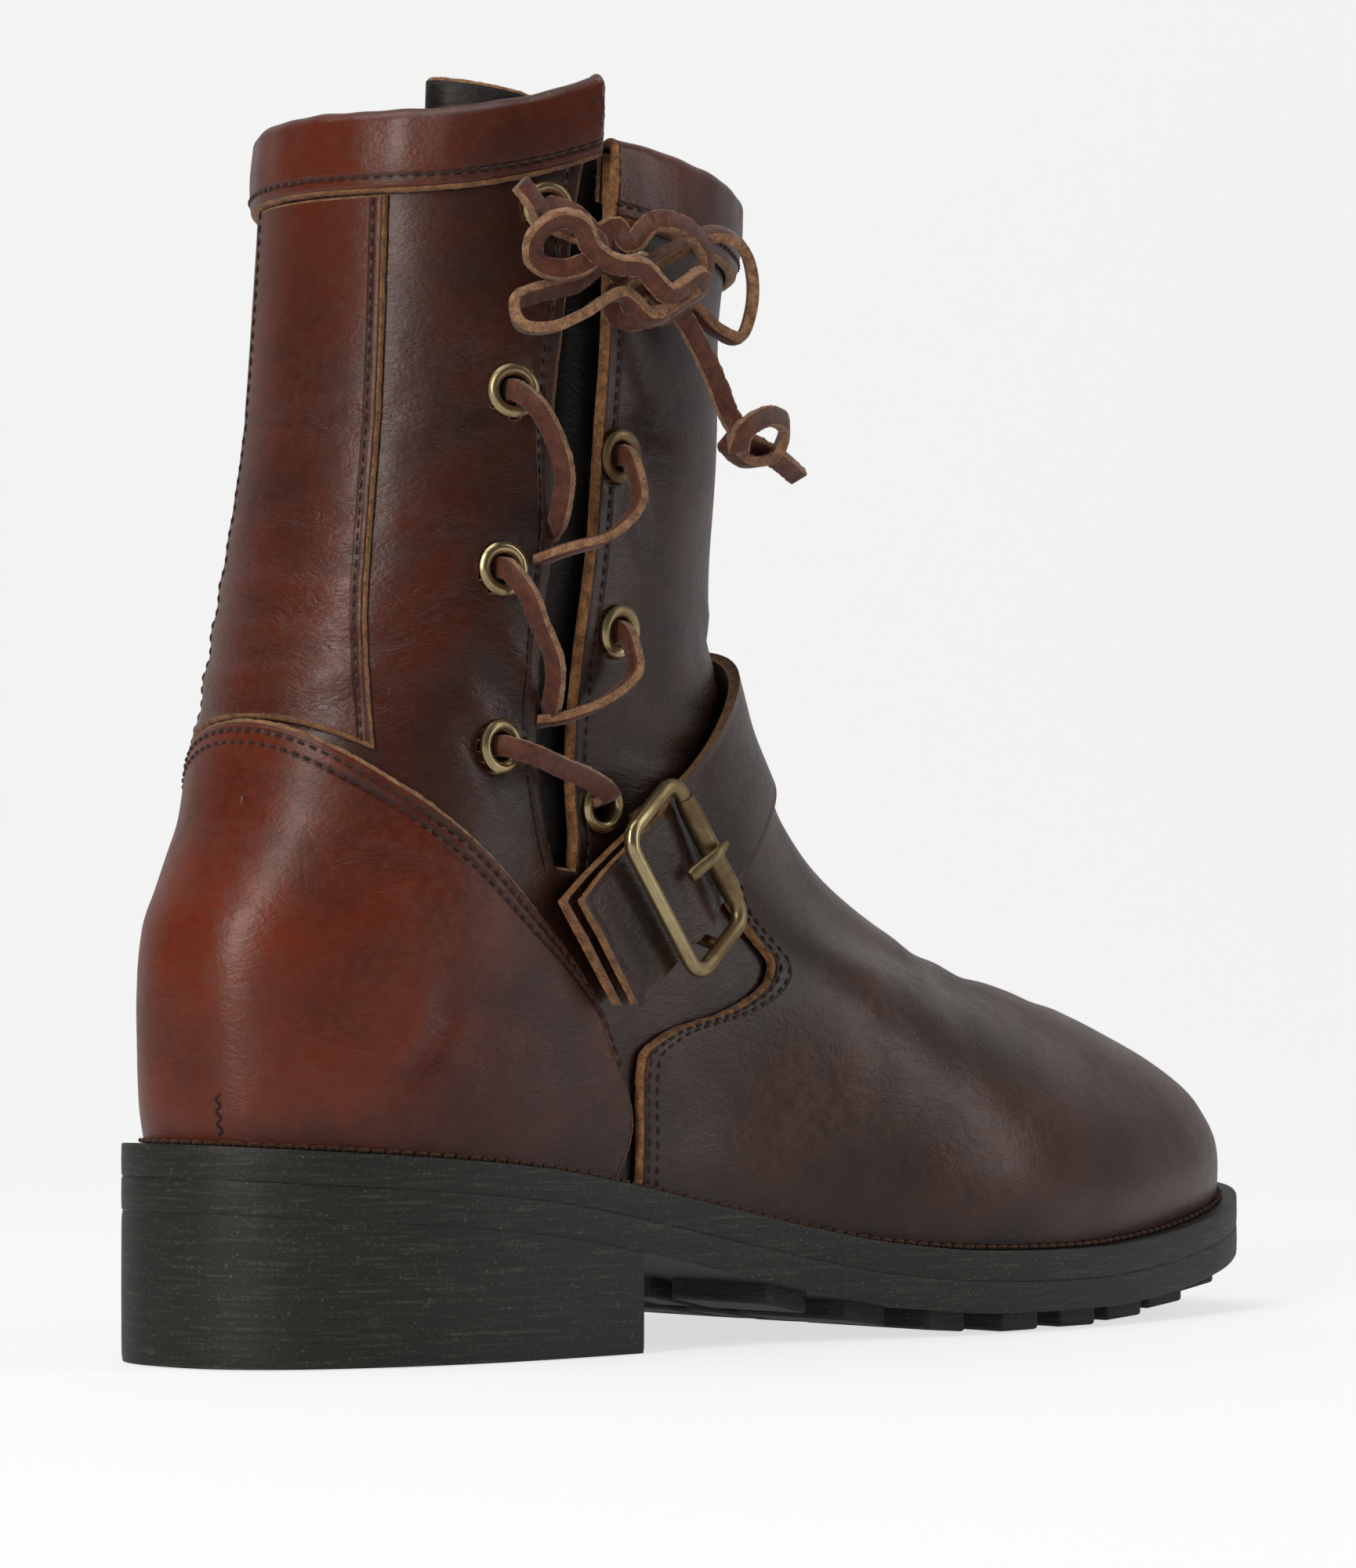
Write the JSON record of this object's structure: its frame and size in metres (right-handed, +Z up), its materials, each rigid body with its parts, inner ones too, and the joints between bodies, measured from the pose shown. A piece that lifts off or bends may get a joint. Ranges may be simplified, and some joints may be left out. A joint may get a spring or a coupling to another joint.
{
  "type": "engineer boot",
  "caption": "Pull-up leather engineer boot for the right foot, laced down an outer side slit, with a buckled instep strap and a lugged sole.",
  "frame": {"origin": "middle of the heel's underside, on the floor", "axes": "+Z up, +Y from heel to toe, +X towards the outer side of the right foot"},
  "size_m": [0.1058, 0.2973, 0.2469],
  "materials": {
    "leather": "waxed chestnut",
    "gusset_leather": "dark, matt",
    "black_sole": "brushed black",
    "insole_leather": "bare tan",
    "brass": "antique",
    "lace_leather": "rawhide"
  },
  "bodies": {
    "root": {"upper": "leather", "counter": "leather", "vamp": "leather", "backstay": "leather", "cuff": "leather", "strap": "leather", "chape": "leather", "gusset": "gusset_leather", "heel": "black_sole", "outsole": "black_sole", "midsole": "black_sole", "insole": "insole_leather", "eyelet_rear_1": "brass", "eyelet_rear_2": "brass", "eyelet_rear_3": "brass", "eyelet_rear_4": "brass", "eyelet_front_1": "brass", "eyelet_front_2": "brass", "eyelet_front_3": "brass", "eyelet_front_4": "brass", "buckle_frame": "brass", "buckle_prong": "brass", "lace_cross_2": "lace_leather", "lace_cross_3": "lace_leather", "lace_cross_4": "lace_leather", "lace_knot": "lace_leather", "lace_lead_rear": "lace_leather", "lace_loop_low": "lace_leather", "lace_loop_front": "lace_leather", "lace_end_rear": "lace_leather", "lace_end_front": "lace_leather"}
  },
  "joints": []
}
